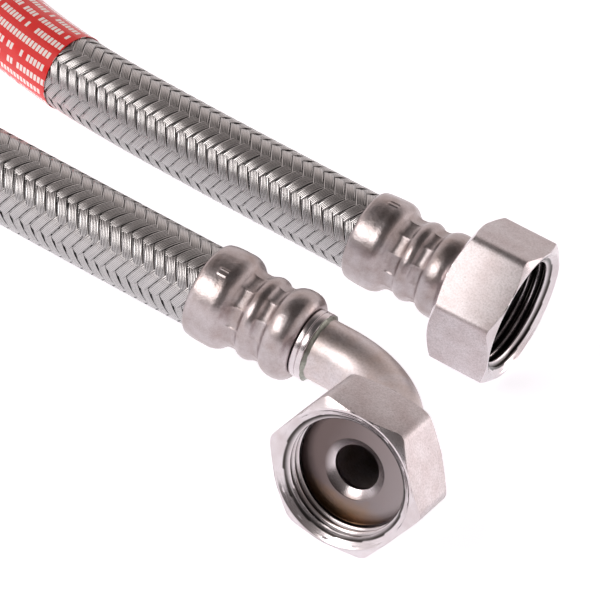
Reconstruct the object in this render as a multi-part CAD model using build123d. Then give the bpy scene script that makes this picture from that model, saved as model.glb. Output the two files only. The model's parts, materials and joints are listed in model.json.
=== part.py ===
from build123d import *
from math import cos, radians, tan
import os

# Braided supply line: a steel-braided rubber hose with a straight swivel nut on one
# end and a swivel nut on a 90 degree elbow on the other.
# Frame, in millimetres: +Z up. The origin is on the straight nut's axis, where its
# thread starts, and +X points out of that nut's mouth. The elbow end lies beside it,
# with its nut's mouth facing -Y. Both nuts stand on the floor under them.

# --- Hose ---
HOSE_OD = 18.0            # over the braid
BRAID_WALL = 0.6          # two crossing layers of wire
BRAID_CRIMPED = 0.5       # the same, pressed under a ferrule
LINER_CRIMPED = 0.95      # liner's wall, pressed under a ferrule
LAYER_GAP = 0.05          # between layers that lie on each other
LABEL_WALL = 0.15         # film wrapped round the braid
LABEL_LENGTH = 58.0
LABEL_START = 72.5        # along the hose, from the start of its free length

# --- Hose tails, the barbed inserts ---
TAIL_OD = 12.5            # over the barbs
TAIL_BORE = 10.0
TAIL_INSET = 4.0          # the tail's inner end, from the ferrule's mouth
BARB_PITCH = 2.6
BARB_DEPTH = 0.35
BARB_COUNT = 6
NECK_STEP = 1.25          # straight tail's neck over its barbs
COLLAR_LENGTH = 2.7       # elbow tail's collar
COLLAR_STEP = 0.85        # that collar over the elbow tube
COLLAR_GROOVE = 0.25      # width and depth of the line turned round the collar
MOUTH_CHAMFER = 1.6       # inside the sealing face's bore

# --- Ferrules ---
FERRULE_WALL = 0.6
MOUTH_CLEARANCE = 0.05    # ferrule's mouth over the braid
CRIMP_CLEARANCE = 0.1     # ferrule's grooves over the pressed braid
BELL_BULGE = 0.85         # bell over the ferrule's mouth
RIDGE_HEIGHT = 0.6        # middle ridge over the grooves
BEAD_HEIGHT = 1.1         # front bead over the grooves
BELL_RISE = 2.2
BELL_LENGTH = 5.2
SHOULDER_LENGTH = 2.6     # from the bell down to the first groove
GROOVE_LENGTH = 1.6
RIDGE_SLOPE = 1.4
RIDGE_LENGTH = 1.4
BEAD_LENGTH = 3.5
NOSE_LENGTH = 1.8         # from the front bead down to its lip
CRIMP_ROUNDING = 1.0
FERRULE_GAP = 0.1         # lip to collar, and lip to neck

# --- Swivel nuts, thread G3/4 ---
NUT_ACROSS_FLATS = 30.0
STRAIGHT_NUT_TURN = -6.8  # how far the straight nut is turned from resting on a flat
THREAD_MINOR_D = 24.12
THREAD_DEPTH = 1.16
MOUTH_STEP = 1.38         # outer edge of the mouth's chamfer over the thread
NUT_MOUTH_DEPTH = 1.4
NUT_WEB = 3.0             # wall that the neck passes through
NUT_CORNER_CUT = 1.34     # depth of the chamfer at the hexagon's corners
SWIVEL_CLEARANCE = 0.35   # radial, web to neck
REAR_CLEARANCE = 0.44     # ferrule to straight nut
STRAIGHT_PLAY = 1.2       # behind the straight flange, to the nut's web
ELBOW_PLAY = 3.15         # behind the elbow's flange, to the nut's web

# --- Sealing ends ---
SEAT_CLEARANCE = 0.31     # radial, flange or gasket to thread
SEAT_THICKNESS = 2.2
GASKET_THICKNESS = 2.0
GASKET_BORE = 16.0
GASKET_DEPTH = 6.6        # straight nut's front face to the gasket
ELBOW_SEAT_DEPTH = 5.15   # elbow nut's front face to the bare seat

# --- Elbow ---
ELBOW_TUBE_OD = 13.3
ELBOW_BEND_R = 21.5       # centre line of the bend
ELBOW_AXIS_X = 2.86       # elbow nut's axis
ELBOW_LEAD_IN = 4.7       # straight tube from the collar to the bend
ELBOW_LEAD_OUT = 2.0      # straight tube from the bend to the nut
BRAZE_SIZE = 0.8          # leg of the brazed fillet
BRAZE_GAP = 0.02

# --- Where the two ends lie ---
LEG_GAP = 46.8            # between the two ends' axes

# --- Values that follow from the ones above ---
HOSE_R = HOSE_OD / 2
TAIL_R = TAIL_OD / 2
HOSE_BORE = TAIL_OD + 2 * LAYER_GAP
NECK_OD = TAIL_OD + 2 * NECK_STEP
COLLAR_OD = max(NECK_OD, ELBOW_TUBE_OD + 2 * COLLAR_STEP)
CRIMPED_BRAID_R = HOSE_BORE / 2 + LINER_CRIMPED + LAYER_GAP + BRAID_CRIMPED
GROOVE_R = CRIMPED_BRAID_R + CRIMP_CLEARANCE + FERRULE_WALL
FERRULE_MOUTH_R = HOSE_R + MOUTH_CLEARANCE + FERRULE_WALL
LIP_R = NECK_OD / 2 + FERRULE_GAP
SEAT_OD = THREAD_MINOR_D - 2 * SEAT_CLEARANCE
THREAD_MAJOR_D = THREAD_MINOR_D + 2 * THREAD_DEPTH
NUT_MOUTH_D = THREAD_MAJOR_D + 2 * MOUTH_STEP
STRAIGHT_NUT_LENGTH = (
    GASKET_DEPTH + GASKET_THICKNESS + SEAT_THICKNESS + STRAIGHT_PLAY + NUT_WEB
)
ELBOW_NUT_LENGTH = ELBOW_SEAT_DEPTH + SEAT_THICKNESS + ELBOW_PLAY + NUT_WEB
ELBOW_REACH = FERRULE_GAP + COLLAR_LENGTH + ELBOW_LEAD_IN + ELBOW_BEND_R
ELBOW_NUT_FRONT = ELBOW_BEND_R + ELBOW_LEAD_OUT + ELBOW_NUT_LENGTH
NUT_CORNER_R = NUT_ACROSS_FLATS / 3 ** 0.5
NUT_FRONT_X = NUT_MOUTH_DEPTH
STRAIGHT_FERRULE_X = NUT_FRONT_X - STRAIGHT_NUT_LENGTH - REAR_CLEARANCE
ELBOW_FERRULE_X = ELBOW_AXIS_X - ELBOW_REACH
ELBOW_COLLAR_X = ELBOW_FERRULE_X + FERRULE_GAP + COLLAR_LENGTH
SEAT_REAR_Y = -LEG_GAP - ELBOW_NUT_FRONT + ELBOW_SEAT_DEPTH + SEAT_THICKNESS

# The straight nut stands on the corner that its turn brings lowest, and the elbow
# nut stands on a flat, so its axis is a little lower.
FLOOR_Z = -NUT_CORNER_R * cos(radians(30 - abs(STRAIGHT_NUT_TURN)))
ELBOW_Z = FLOOR_Z + NUT_ACROSS_FLATS / 2
LOOP_Z = FLOOR_Z + HOSE_R

# The hose's centre line between its two ferrules: out of the straight end, round one
# open loop on the floor, and back into the elbow end.
HOSE_ROUTE = [
    (-46, 0, 0),
    (-86, 0, 0),
    (-131, 6, -1.0),
    (-173, 30, -3.4),
    (-205, 77, -5.8),
    (-266, 104, LOOP_Z),
    (-334, 80, LOOP_Z),
    (-371, 16, LOOP_Z),
    (-358, -57, LOOP_Z),
    (-302, -103, LOOP_Z),
    (-232, -100, -6.6),
    (-182, -60, -4.8),
    (-135, -43, -2.6),
    (-92, -LEG_GAP, ELBOW_Z),
    (-58, -LEG_GAP, ELBOW_Z),
]


def turned(points):
    """Solid of revolution about +X from (distance along, radius) points."""
    return revolve(make_face(Polyline(*points, close=True)), Axis.X)


def at_elbow_end(solid):
    """Move a solid from the straight end's axis, which is +X, to the elbow leg's."""
    return Pos(0, -LEG_GAP, ELBOW_Z) * solid


def at_elbow_nut(solid):
    """Place a solid made along +X from the elbow nut's front face on that nut's axis."""
    return Pos(ELBOW_AXIS_X, -LEG_GAP - ELBOW_NUT_FRONT, ELBOW_Z) * Rot(0, 0, -90) * solid


def ferrule_outline():
    """Outer (distance from the mouth, radius) points of a crimped ferrule."""
    steps = [
        (0, FERRULE_MOUTH_R),
        (BELL_RISE, FERRULE_MOUTH_R + BELL_BULGE),
        (BELL_LENGTH, FERRULE_MOUTH_R + BELL_BULGE),
        (SHOULDER_LENGTH, GROOVE_R),
        (GROOVE_LENGTH, GROOVE_R),
        (RIDGE_SLOPE, GROOVE_R + RIDGE_HEIGHT),
        (RIDGE_LENGTH, GROOVE_R + RIDGE_HEIGHT),
        (RIDGE_SLOPE, GROOVE_R),
        (GROOVE_LENGTH, GROOVE_R),
        (RIDGE_SLOPE, GROOVE_R + BEAD_HEIGHT),
        (BEAD_LENGTH, GROOVE_R + BEAD_HEIGHT),
        (NOSE_LENGTH, LIP_R),
    ]
    points, along = [], 0
    for step, radius in steps:
        along += step
        points.append((along, radius))
    return points


FERRULE_LENGTH = ferrule_outline()[-1][0]
STRAIGHT_MOUTH_X = STRAIGHT_FERRULE_X - FERRULE_LENGTH
ELBOW_MOUTH_X = ELBOW_FERRULE_X - FERRULE_LENGTH


def ferrule(mouth_x):
    """Thin crimped sleeve whose mouth is at mouth_x."""
    outer = [(mouth_x + x, r) for x, r in ferrule_outline()]
    inner = [(x, r - FERRULE_WALL) for x, r in outer]
    outer_line = FilletPolyline(*outer, radius=CRIMP_ROUNDING)
    inner_line = FilletPolyline(*inner, radius=CRIMP_ROUNDING)
    edges = outer_line.edges() + inner_line.edges()
    edges += [Line(outer[0], inner[0]), Line(outer[-1], inner[-1])]
    return revolve(make_face(edges), Axis.X)


def barbed_stem(mouth_x, front_x):
    """Outer (x, radius) points of the barbs, from the tail's inner end to front_x."""
    inner_end = mouth_x + TAIL_INSET
    points = [(inner_end, TAIL_R - BARB_DEPTH)]
    for barb in range(BARB_COUNT):
        crest = inner_end + (barb + 1) * BARB_PITCH
        points += [(crest, TAIL_R), (crest, TAIL_R - BARB_DEPTH)]
    return points + [(front_x, TAIL_R - BARB_DEPTH)]


def straight_hose_tail():
    """Barbed insert with the neck and the flange that hold the straight nut."""
    neck_start = STRAIGHT_FERRULE_X + FERRULE_GAP
    seat_x = NUT_FRONT_X - GASKET_DEPTH - GASKET_THICKNESS
    bore_r = TAIL_BORE / 2
    return turned(
        barbed_stem(STRAIGHT_MOUTH_X, neck_start)
        + [
            (neck_start, NECK_OD / 2),
            (seat_x - SEAT_THICKNESS, NECK_OD / 2),
            (seat_x - SEAT_THICKNESS, SEAT_OD / 2),
            (seat_x, SEAT_OD / 2),
            (seat_x, bore_r + MOUTH_CHAMFER),
            (seat_x - MOUTH_CHAMFER, bore_r),
            (STRAIGHT_MOUTH_X + TAIL_INSET, bore_r),
        ]
    )


def elbow_hose_tail():
    """Barbed insert with the collar that the elbow tube is brazed to."""
    collar_start = ELBOW_FERRULE_X + FERRULE_GAP
    middle = collar_start + COLLAR_LENGTH / 2
    collar_r = COLLAR_OD / 2
    return turned(
        barbed_stem(ELBOW_MOUTH_X, collar_start)
        + [
            (collar_start, collar_r),
            (middle - COLLAR_GROOVE / 2, collar_r),
            (middle, collar_r - COLLAR_GROOVE),
            (middle + COLLAR_GROOVE / 2, collar_r),
            (ELBOW_COLLAR_X, collar_r),
            (ELBOW_COLLAR_X, TAIL_BORE / 2),
            (ELBOW_MOUTH_X + TAIL_INSET, TAIL_BORE / 2),
        ]
    )


def elbow_tube():
    """Bent tube from the collar to the sealing flange."""
    corner = (ELBOW_AXIS_X, -LEG_GAP, ELBOW_Z)
    start = (ELBOW_COLLAR_X, -LEG_GAP, ELBOW_Z)
    end = (ELBOW_AXIS_X, SEAT_REAR_Y, ELBOW_Z)
    path = FilletPolyline(start, corner, end, radius=ELBOW_BEND_R)
    section = Circle(ELBOW_TUBE_OD / 2) - Circle(TAIL_BORE / 2)
    return sweep(Plane(start, x_dir=(0, 1, 0), z_dir=(1, 0, 0)) * section, path)


def elbow_seat_flange():
    """Bare flat sealing ring on the elbow tube's end, made along +X to its face."""
    bore_r = TAIL_BORE / 2
    face = -ELBOW_SEAT_DEPTH
    return turned(
        [
            (face, bore_r + MOUTH_CHAMFER),
            (face - MOUTH_CHAMFER, bore_r),
            (face - SEAT_THICKNESS, bore_r),
            (face - SEAT_THICKNESS, SEAT_OD / 2),
            (face, SEAT_OD / 2),
        ]
    )


def braze_ring(face_x, facing):
    """Brazed fillet against a face at face_x, growing thinner towards +X or -X."""
    inner_r = ELBOW_TUBE_OD / 2 + BRAZE_GAP
    return turned(
        [
            (face_x, inner_r),
            (face_x, inner_r + BRAZE_SIZE),
            (face_x + facing * BRAZE_SIZE, inner_r),
        ]
    )


def nut(length, turn, seat_depth, neck_d):
    """Hexagon nut from its front face at x = 0 back to x = -length."""
    flat_r = NUT_ACROSS_FLATS / 2
    hexagon = RegularPolygon(NUT_CORNER_R, 6, major_radius=True, rotation=turn)
    prism = extrude(Plane.YZ.offset(-length) * hexagon, length)
    corners = turned(
        [
            (0, 0),
            (0, flat_r),
            (-NUT_CORNER_CUT, NUT_CORNER_R),
            (NUT_CORNER_CUT - length, NUT_CORNER_R),
            (-length, flat_r),
            (-length, 0),
        ]
    )
    hole_r = neck_d / 2 + SWIVEL_CLEARANCE
    inside = turned(
        [
            (1, 0),
            (1, NUT_MOUTH_D / 2),
            (0, NUT_MOUTH_D / 2),
            (-NUT_MOUTH_DEPTH, THREAD_MINOR_D / 2),
            (-seat_depth, THREAD_MINOR_D / 2),
            (-seat_depth, THREAD_MAJOR_D / 2),
            (NUT_WEB - length, THREAD_MAJOR_D / 2),
            (NUT_WEB - length, hole_r),
            (-length - 1, hole_r),
            (-length - 1, 0),
        ]
    )
    return (prism & corners) - inside


def gasket():
    """Flat rubber sealing ring in front of the straight tail's flange."""
    front = NUT_FRONT_X - GASKET_DEPTH
    return turned(
        [
            (front, GASKET_BORE / 2),
            (front, SEAT_OD / 2),
            (front - GASKET_THICKNESS, SEAT_OD / 2),
            (front - GASKET_THICKNESS, GASKET_BORE / 2),
        ]
    )


def hose_path():
    """Centre line of the free hose, with each corner as wide as its runs allow."""
    points = [Vector(*point) for point in HOSE_ROUTE]
    runs = [after - before for before, after in zip(points, points[1:])]
    radii = []
    for run, next_run in zip(runs, runs[1:]):
        half_turn = radians(run.get_angle(next_run) / 2)
        radii.append(0.45 * min(run.length, next_run.length) / tan(half_turn))
    print("hose corner radii, mm:", [round(radius) for radius in radii])
    return FilletPolyline(*points, radius=radii)


def tube_along(path, outer_r, inner_r):
    """Round tube that follows a path."""
    start = Plane(path @ 0, z_dir=path % 0)
    return sweep(start * (Circle(outer_r) - Circle(inner_r)), path)


def crimped_end(mouth_x, route_x, free_r, pressed_r, free_inner_r, pressed_inner_r):
    """Straight stretch of one hose layer, from the free hose to inside the ferrule."""
    full_end = mouth_x + BELL_LENGTH
    pressed_start = full_end + SHOULDER_LENGTH
    end = mouth_x + FERRULE_LENGTH - NOSE_LENGTH - CRIMP_ROUNDING
    return turned(
        [
            (route_x, free_r),
            (full_end, free_r),
            (pressed_start, pressed_r),
            (end, pressed_r),
            (end, pressed_inner_r),
            (pressed_start, pressed_inner_r),
            (full_end, free_inner_r),
            (route_x, free_inner_r),
        ]
    )


def hose_layer(path, free_r, pressed_r, free_inner_r, pressed_inner_r):
    """One layer of the hose from end to end."""
    radii = (free_r, pressed_r, free_inner_r, pressed_inner_r)
    straight_end = crimped_end(STRAIGHT_MOUTH_X, HOSE_ROUTE[0][0], *radii)
    elbow_end = crimped_end(ELBOW_MOUTH_X, HOSE_ROUTE[-1][0], *radii)
    free = tube_along(path, free_r, free_inner_r)
    return free + straight_end + at_elbow_end(elbow_end)


def wire_braid(path):
    """Woven steel sleeve, as one closed tube."""
    pressed_r = CRIMPED_BRAID_R
    return hose_layer(
        path, HOSE_R, pressed_r, HOSE_R - BRAID_WALL, pressed_r - BRAID_CRIMPED
    )


def inner_hose(path):
    """Rubber liner under the braid."""
    free_r = HOSE_R - BRAID_WALL - LAYER_GAP
    pressed_r = CRIMPED_BRAID_R - BRAID_CRIMPED - LAYER_GAP
    return hose_layer(path, free_r, pressed_r, HOSE_BORE / 2, HOSE_BORE / 2)


def label_wrap(path):
    """Film label wrapped once round the braid."""
    edges = path.edges()
    part, along = [], 0
    for edge in edges:
        first = max(LABEL_START - along, 0) / edge.length
        last = min(LABEL_START + LABEL_LENGTH - along, edge.length) / edge.length
        if first < last:
            part.append(edge.trim(first, last))
        along += edge.length
    inner_r = HOSE_R + LAYER_GAP
    return tube_along(Wire(part), inner_r + LABEL_WALL, inner_r)


def main():
    path = hose_path()
    print("free hose length, mm:", round(path.length, 1))
    seat_rear = -ELBOW_SEAT_DEPTH - SEAT_THICKNESS
    straight_nut = nut(STRAIGHT_NUT_LENGTH, STRAIGHT_NUT_TURN, GASKET_DEPTH, NECK_OD)
    elbow_nut = nut(ELBOW_NUT_LENGTH, 0, ELBOW_SEAT_DEPTH, ELBOW_TUBE_OD)
    parts = {
        "inner_hose": inner_hose(path),
        "wire_braid": wire_braid(path),
        "label_wrap": label_wrap(path),
        "straight_ferrule": ferrule(STRAIGHT_MOUTH_X),
        "straight_hose_tail": straight_hose_tail(),
        "straight_nut": Pos(NUT_FRONT_X, 0, 0) * straight_nut,
        "straight_gasket": gasket(),
        "elbow_ferrule": at_elbow_end(ferrule(ELBOW_MOUTH_X)),
        "elbow_hose_tail": at_elbow_end(elbow_hose_tail()),
        "elbow_tube": elbow_tube(),
        "collar_braze_ring": at_elbow_end(braze_ring(ELBOW_COLLAR_X, 1)),
        "seat_braze_ring": at_elbow_nut(braze_ring(seat_rear, -1)),
        "elbow_seat_flange": at_elbow_nut(elbow_seat_flange()),
        "elbow_nut": at_elbow_nut(elbow_nut),
    }
    os.makedirs("parts", exist_ok=True)
    for name, part in parts.items():
        export_step(part, f"parts/{name}.step")


main()
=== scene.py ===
"""Braided supply line: woven steel hose, crimped ferrules, swivel nuts and brazed elbow.

It is laid out as an add-on and run as a script. Every length is in metres.
"""

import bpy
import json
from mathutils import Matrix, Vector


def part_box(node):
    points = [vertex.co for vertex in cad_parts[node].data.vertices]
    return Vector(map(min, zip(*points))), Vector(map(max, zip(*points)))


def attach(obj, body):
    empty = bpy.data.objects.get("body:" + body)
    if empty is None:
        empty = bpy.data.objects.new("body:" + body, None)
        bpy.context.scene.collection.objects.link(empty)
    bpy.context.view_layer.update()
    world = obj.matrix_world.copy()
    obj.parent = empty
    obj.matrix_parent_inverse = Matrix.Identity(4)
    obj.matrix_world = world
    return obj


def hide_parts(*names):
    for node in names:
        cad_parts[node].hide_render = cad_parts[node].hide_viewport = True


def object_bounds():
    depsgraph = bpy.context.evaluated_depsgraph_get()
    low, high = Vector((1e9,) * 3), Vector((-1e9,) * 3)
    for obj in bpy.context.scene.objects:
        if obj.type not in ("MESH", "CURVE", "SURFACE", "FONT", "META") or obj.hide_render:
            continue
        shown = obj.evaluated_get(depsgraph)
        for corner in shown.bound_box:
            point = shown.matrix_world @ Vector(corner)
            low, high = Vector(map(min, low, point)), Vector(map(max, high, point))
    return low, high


bl_info = {
    "name": "Braided Supply Line",
    "version": (1, 0, 0),
    "blender": (4, 5, 0),
    "location": "View3D > Sidebar > Supply Line",
    "description": "Makes the visible pieces of a braided supply line around its solid model",
    "category": "Add Mesh",
}

import json
from math import cos, pi, radians, sin, tan

import bmesh
import bpy
import numpy as np
from bpy.props import FloatProperty, IntProperty, PointerProperty, StringProperty
from mathutils import Matrix, Vector

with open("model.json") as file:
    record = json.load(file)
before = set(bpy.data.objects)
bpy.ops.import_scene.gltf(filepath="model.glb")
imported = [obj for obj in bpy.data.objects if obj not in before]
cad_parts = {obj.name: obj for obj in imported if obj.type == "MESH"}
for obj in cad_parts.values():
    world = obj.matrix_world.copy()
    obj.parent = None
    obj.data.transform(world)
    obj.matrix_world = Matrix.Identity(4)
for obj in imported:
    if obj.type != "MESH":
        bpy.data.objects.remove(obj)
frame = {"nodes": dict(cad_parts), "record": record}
CAD_LOW, CAD_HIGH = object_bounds()

MM = 0.001
HOSE_BODY = "hose_line"

# --- Places read from the solid model ---
NUT_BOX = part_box("straight_nut")
ELBOW_NUT_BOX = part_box("elbow_nut")
ELBOW_AXIS_X = (ELBOW_NUT_BOX[0].x + ELBOW_NUT_BOX[1].x) / 2
ELBOW_Z = (ELBOW_NUT_BOX[0].z + ELBOW_NUT_BOX[1].z) / 2
ELBOW_FRONT_Y = ELBOW_NUT_BOX[0].y
FLOOR_Z = CAD_LOW.z
ELBOW_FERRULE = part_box("elbow_ferrule")
ELBOW_LEG_Y = (ELBOW_FERRULE[0].y + ELBOW_FERRULE[1].y) / 2
SEAT_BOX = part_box("elbow_seat_flange")
GASKET_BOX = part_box("straight_gasket")
COLLAR_FACE_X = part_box("elbow_hose_tail")[1].x
THREAD_R = frame["record"]["mounts"][0]["dims"]["r_mm"] * MM

# Placements of a solid of revolution made along +X.
STRAIGHT_LEG = Matrix.Identity(4)
ELBOW_LEG = Matrix.Translation((0, ELBOW_LEG_Y, ELBOW_Z))
ELBOW_NUT_PLACE = (Matrix.Translation((ELBOW_AXIS_X, ELBOW_FRONT_Y, ELBOW_Z))
                   @ Matrix.Rotation(-pi / 2, 4, "Z"))

# The hose's centre line, from inside one ferrule's mouth, round one open loop on the
# floor, to inside the other's. In metres.
LOOP_Z = -0.00692
HOSE_ROUTE = [
    (-0.034, 0, 0),
    (-0.086, 0, 0),
    (-0.131, 0.006, -0.0010),
    (-0.173, 0.030, -0.0034),
    (-0.205, 0.077, -0.0058),
    (-0.266, 0.104, LOOP_Z),
    (-0.334, 0.080, LOOP_Z),
    (-0.371, 0.016, LOOP_Z),
    (-0.358, -0.057, LOOP_Z),
    (-0.302, -0.103, LOOP_Z),
    (-0.232, -0.100, -0.0066),
    (-0.182, -0.060, -0.0048),
    (-0.135, -0.043, -0.0026),
    (-0.092, ELBOW_LEG_Y, ELBOW_Z),
    (-0.0465, ELBOW_LEG_Y, ELBOW_Z),
]


# --- settings ---

def a_length(name, description, default):
    return FloatProperty(name=name, description=description, default=default, unit="LENGTH")


def an_angle(name, description, degrees):
    return FloatProperty(name=name, description=description, default=radians(degrees), subtype="ANGLE")


def a_count(name, description, default):
    return IntProperty(name=name, description=description, default=default)


def a_colour(name, description, default):
    return StringProperty(name=name, description=description, default=default)


class SupplyLineSizes(bpy.types.PropertyGroup):
    """Sizes of the details that the solid model leaves plain."""

    hose_diameter: a_length("Hose diameter", "Over the braid", 0.018)
    liner_diameter: a_length("Liner diameter", "Rubber hose under the braid", 0.0167)
    hose_length: a_length("Hose length", "Free hose between the two ferrules", 0.808)
    bands_each_way: a_count("Bands each way", "Flat wire bands of each hand", 12)
    braid_lead: a_length("Braid lead", "Length of one turn of a band", 0.0326)
    band_width: a_length("Band width", "Across one flat wire band", 0.00226)
    wire_diameter: a_length("Wire diameter", "Thickness of one band of wires", 0.0003)
    braid_phase: an_angle("Braid phase", "Turns the weave round the hose", 20)
    braid_twist: an_angle("Braid twist", "Twist of the hose between its ends", 7)
    label_start: a_length("Label start", "From the hose's first point", 0.0845)
    label_length: a_length("Label length", "Along the hose", 0.058)
    across_flats: a_length("Across flats", "Width of both hexagon nuts", 0.030)
    corner_radius: a_length("Nut corner radius", "Rounding of the nuts' long edges", 0.0024)
    thread_pitch: a_length("Thread pitch", "14 turns to the inch", 0.001814)
    thread_depth: a_length("Thread depth", "Crest to root", 0.00116)
    jaws: a_count("Jaws", "Jaws that crimp each groove of a ferrule", 12)


class SupplyLineColours(bpy.types.PropertyGroup):
    """Surface colours, as sRGB hex values."""

    wire: a_colour("Wire", "Drawn stainless wire", "C4C2C2")
    ferrule: a_colour("Ferrule", "Pressed stainless sleeve", "BDB5B6")
    plating: a_colour("Plating", "Nickel plating on brass", "D4CDCF")
    tarnish: a_colour("Tarnish", "Warm stain in the plating", "94714C")
    braze: a_colour("Braze", "Plated brazed seam", "80827A")
    rubber: a_colour("Rubber", "Liner and gasket", "1B1E24")
    label: a_colour("Label", "Printed film", "EC2B29")
    print_colour: a_colour("Print", "Bars printed on the label", "F4E9E4")
    floor: a_colour("Floor", "Plain floor", "F4F3F7")


# --- node helpers ---

def linear(hex_colour):
    """sRGB hex value to a linear RGBA colour."""
    channels = [int(hex_colour[i:i + 2], 16) / 255 for i in (0, 2, 4)]
    curved = [c / 12.92 if c <= 0.04045 else ((c + 0.055) / 1.055) ** 2.4 for c in channels]
    return (*curved, 1.0)


def shade(colour, *factors):
    """Colour times one factor, or times one for each channel."""
    factors = factors * 3 if len(factors) == 1 else factors
    return (*(min(1, c * f) for c, f in zip(colour, factors)), 1.0)


def node(tree, kind, inputs=None, **settings):
    """Add one node. Each input is a plain value or another node's output socket."""
    made = tree.nodes.new(kind)
    for name, value in settings.items():
        setattr(made, name, value)
    for key, value in (inputs or {}).items():
        if isinstance(value, bpy.types.NodeSocket):
            tree.links.new(value, made.inputs[key])
        else:
            made.inputs[key].default_value = value
    return made


def math(tree, operation, *values):
    """Output of a Math node."""
    return node(tree, "ShaderNodeMath", dict(enumerate(values)), operation=operation).outputs[0]


def scaled(tree, value, factor, offset=None):
    """Value times factor, plus offset."""
    product = math(tree, "MULTIPLY", value, factor)
    return product if offset is None else math(tree, "ADD", product, offset)


def mapped(tree, value, from_low, from_high, to_low, to_high):
    """Value moved from one range to another, and held inside it."""
    return node(tree, "ShaderNodeMapRange", {
        "Value": value, "From Min": from_low, "From Max": from_high,
        "To Min": to_low, "To Max": to_high}).outputs["Result"]


def object_place(tree):
    return node(tree, "ShaderNodeTexCoord").outputs["Object"]


def attribute(tree, name):
    return node(tree, "ShaderNodeAttribute", attribute_name=name).outputs["Fac"]


def noise(tree, place, lump, detail=4.0, roughness=0.55):
    """Noise whose lumps have the given size, in metres."""
    return node(tree, "ShaderNodeTexNoise", {
        "Vector": place, "Scale": 1 / lump, "Detail": detail, "Roughness": roughness}).outputs["Fac"]


def noise_over(tree, *axes, detail=2.0):
    """Noise over two or three values, each already divided by the size of its lumps."""
    place = node(tree, "ShaderNodeCombineXYZ", dict(enumerate(axes))).outputs[0]
    return node(tree, "ShaderNodeTexNoise", {
        "Vector": place, "Scale": 1.0, "Detail": detail}).outputs["Fac"]


def ramp(tree, factor, stops):
    """Colour ramp from (position, colour) stops."""
    made = node(tree, "ShaderNodeValToRGB", {"Fac": factor})
    elements = made.color_ramp.elements
    while len(elements) < len(stops):
        elements.new(0.5)
    for element, (position, colour) in zip(elements, stops):
        element.position = position
        element.color = colour
    return made.outputs["Color"]


BLACK, WHITE = (0, 0, 0, 1), (1, 1, 1, 1)


def mask(tree, value, low, high):
    """Black up to low, and white from high."""
    return ramp(tree, value, [(low, BLACK), (high, WHITE)])


def mix_colour(tree, factor, first, second, blend="MIX"):
    """Output of a colour Mix node."""
    return node(tree, "ShaderNodeMix", {0: factor, 6: first, 7: second},
                data_type="RGBA", blend_type=blend).outputs[2]


def multiply(tree, first, second, factor=1.0):
    return mix_colour(tree, factor, first, second, "MULTIPLY")


def bump(tree, height, distance, strength=1.0, under=None):
    """Normal output of a Bump node whose full height is distance, in metres."""
    inputs = {"Height": height, "Distance": distance, "Strength": strength}
    if under is not None:
        inputs["Normal"] = under
    return node(tree, "ShaderNodeBump", inputs).outputs["Normal"]


def new_material(name, **constants):
    """Material with a Principled shader whose constants are set on its own sockets."""
    material = bpy.data.materials.new(name)
    material.use_nodes = True
    for key, value in constants.items():
        material.node_tree.nodes["Principled BSDF"].inputs[key].default_value = value
    return material, material.node_tree


def joined(material, colour, normal, roughness=None):
    """The material, with its nodes linked to its shader."""
    sockets = material.node_tree.nodes["Principled BSDF"].inputs
    for key, value in (("Base Color", colour), ("Normal", normal), ("Roughness", roughness)):
        if value is not None:
            material.node_tree.links.new(value, sockets[key])
    return material


# --- mesh helpers ---

MERGE_DISTANCE, THIN_FACE = 2e-6, 1e-6


def placed(name, data):
    """New object at the origin of the scene."""
    made = bpy.data.objects.new(name, data)
    bpy.context.scene.collection.objects.link(made)
    return made


def shade_by_angle(bm, limit):
    """Smooth faces, with the edges sharper than limit kept crisp."""
    for face in bm.faces:
        face.smooth = True
    for edge in bm.edges:
        edge.smooth = len(edge.link_faces) == 2 and edge.calc_face_angle(0) < limit


def mesh_piece(name, points, faces, materials, place=None, indexes=None, attributes=None, angle=28):
    """Object at the origin whose place is in its mesh. Edges above angle, in degrees, are crisp."""
    mesh = bpy.data.meshes.new(name)
    mesh.from_pydata([tuple(p) for p in points], [], faces)
    for key, values in (attributes or {}).items():
        layer = mesh.attributes.new(key, "FLOAT", "POINT")
        layer.data.foreach_set("value", np.asarray(values, np.float32))
    if indexes is not None:
        mesh.polygons.foreach_set("material_index", indexes)
    if place is not None:
        mesh.transform(place)
    bm = bmesh.new()
    bm.from_mesh(mesh)
    bmesh.ops.remove_doubles(bm, verts=bm.verts, dist=MERGE_DISTANCE)
    bmesh.ops.dissolve_degenerate(bm, dist=THIN_FACE, edges=bm.edges)
    bmesh.ops.recalc_face_normals(bm, faces=bm.faces)
    shade_by_angle(bm, radians(angle))
    bm.to_mesh(mesh)
    bm.free()
    for material in materials:
        mesh.materials.append(material)
    return placed(name, mesh)


def ring_faces(rows, columns, closed_rows=False):
    """Quads of a grid of rows by columns that closes round its columns."""
    faces = []
    for row in range(rows if closed_rows else rows - 1):
        after = (row + 1) % rows
        for column in range(columns):
            side = (column + 1) % columns
            faces.append((row * columns + column, row * columns + side,
                          after * columns + side, after * columns + column))
    return faces


def softened(outline, radius, steps=3):
    """Closed (x, r) outline with each corner rounded."""
    points = [Vector(p) for p in outline]
    result = []
    for before, corner, after in zip(points[-1:] + points[:-1], points, points[1:] + points[:1]):
        first, second = before - corner, after - corner
        reach = min(radius, first.length * 0.45, second.length * 0.45)
        start, end = corner + first.normalized() * reach, corner + second.normalized() * reach
        for i in range(steps + 1):
            t = i / steps
            result.append(start * (1 - t) ** 2 + corner * 2 * t * (1 - t) + end * t ** 2)
    return [tuple(p) for p in result]


LATHE_COLUMNS = 128


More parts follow.
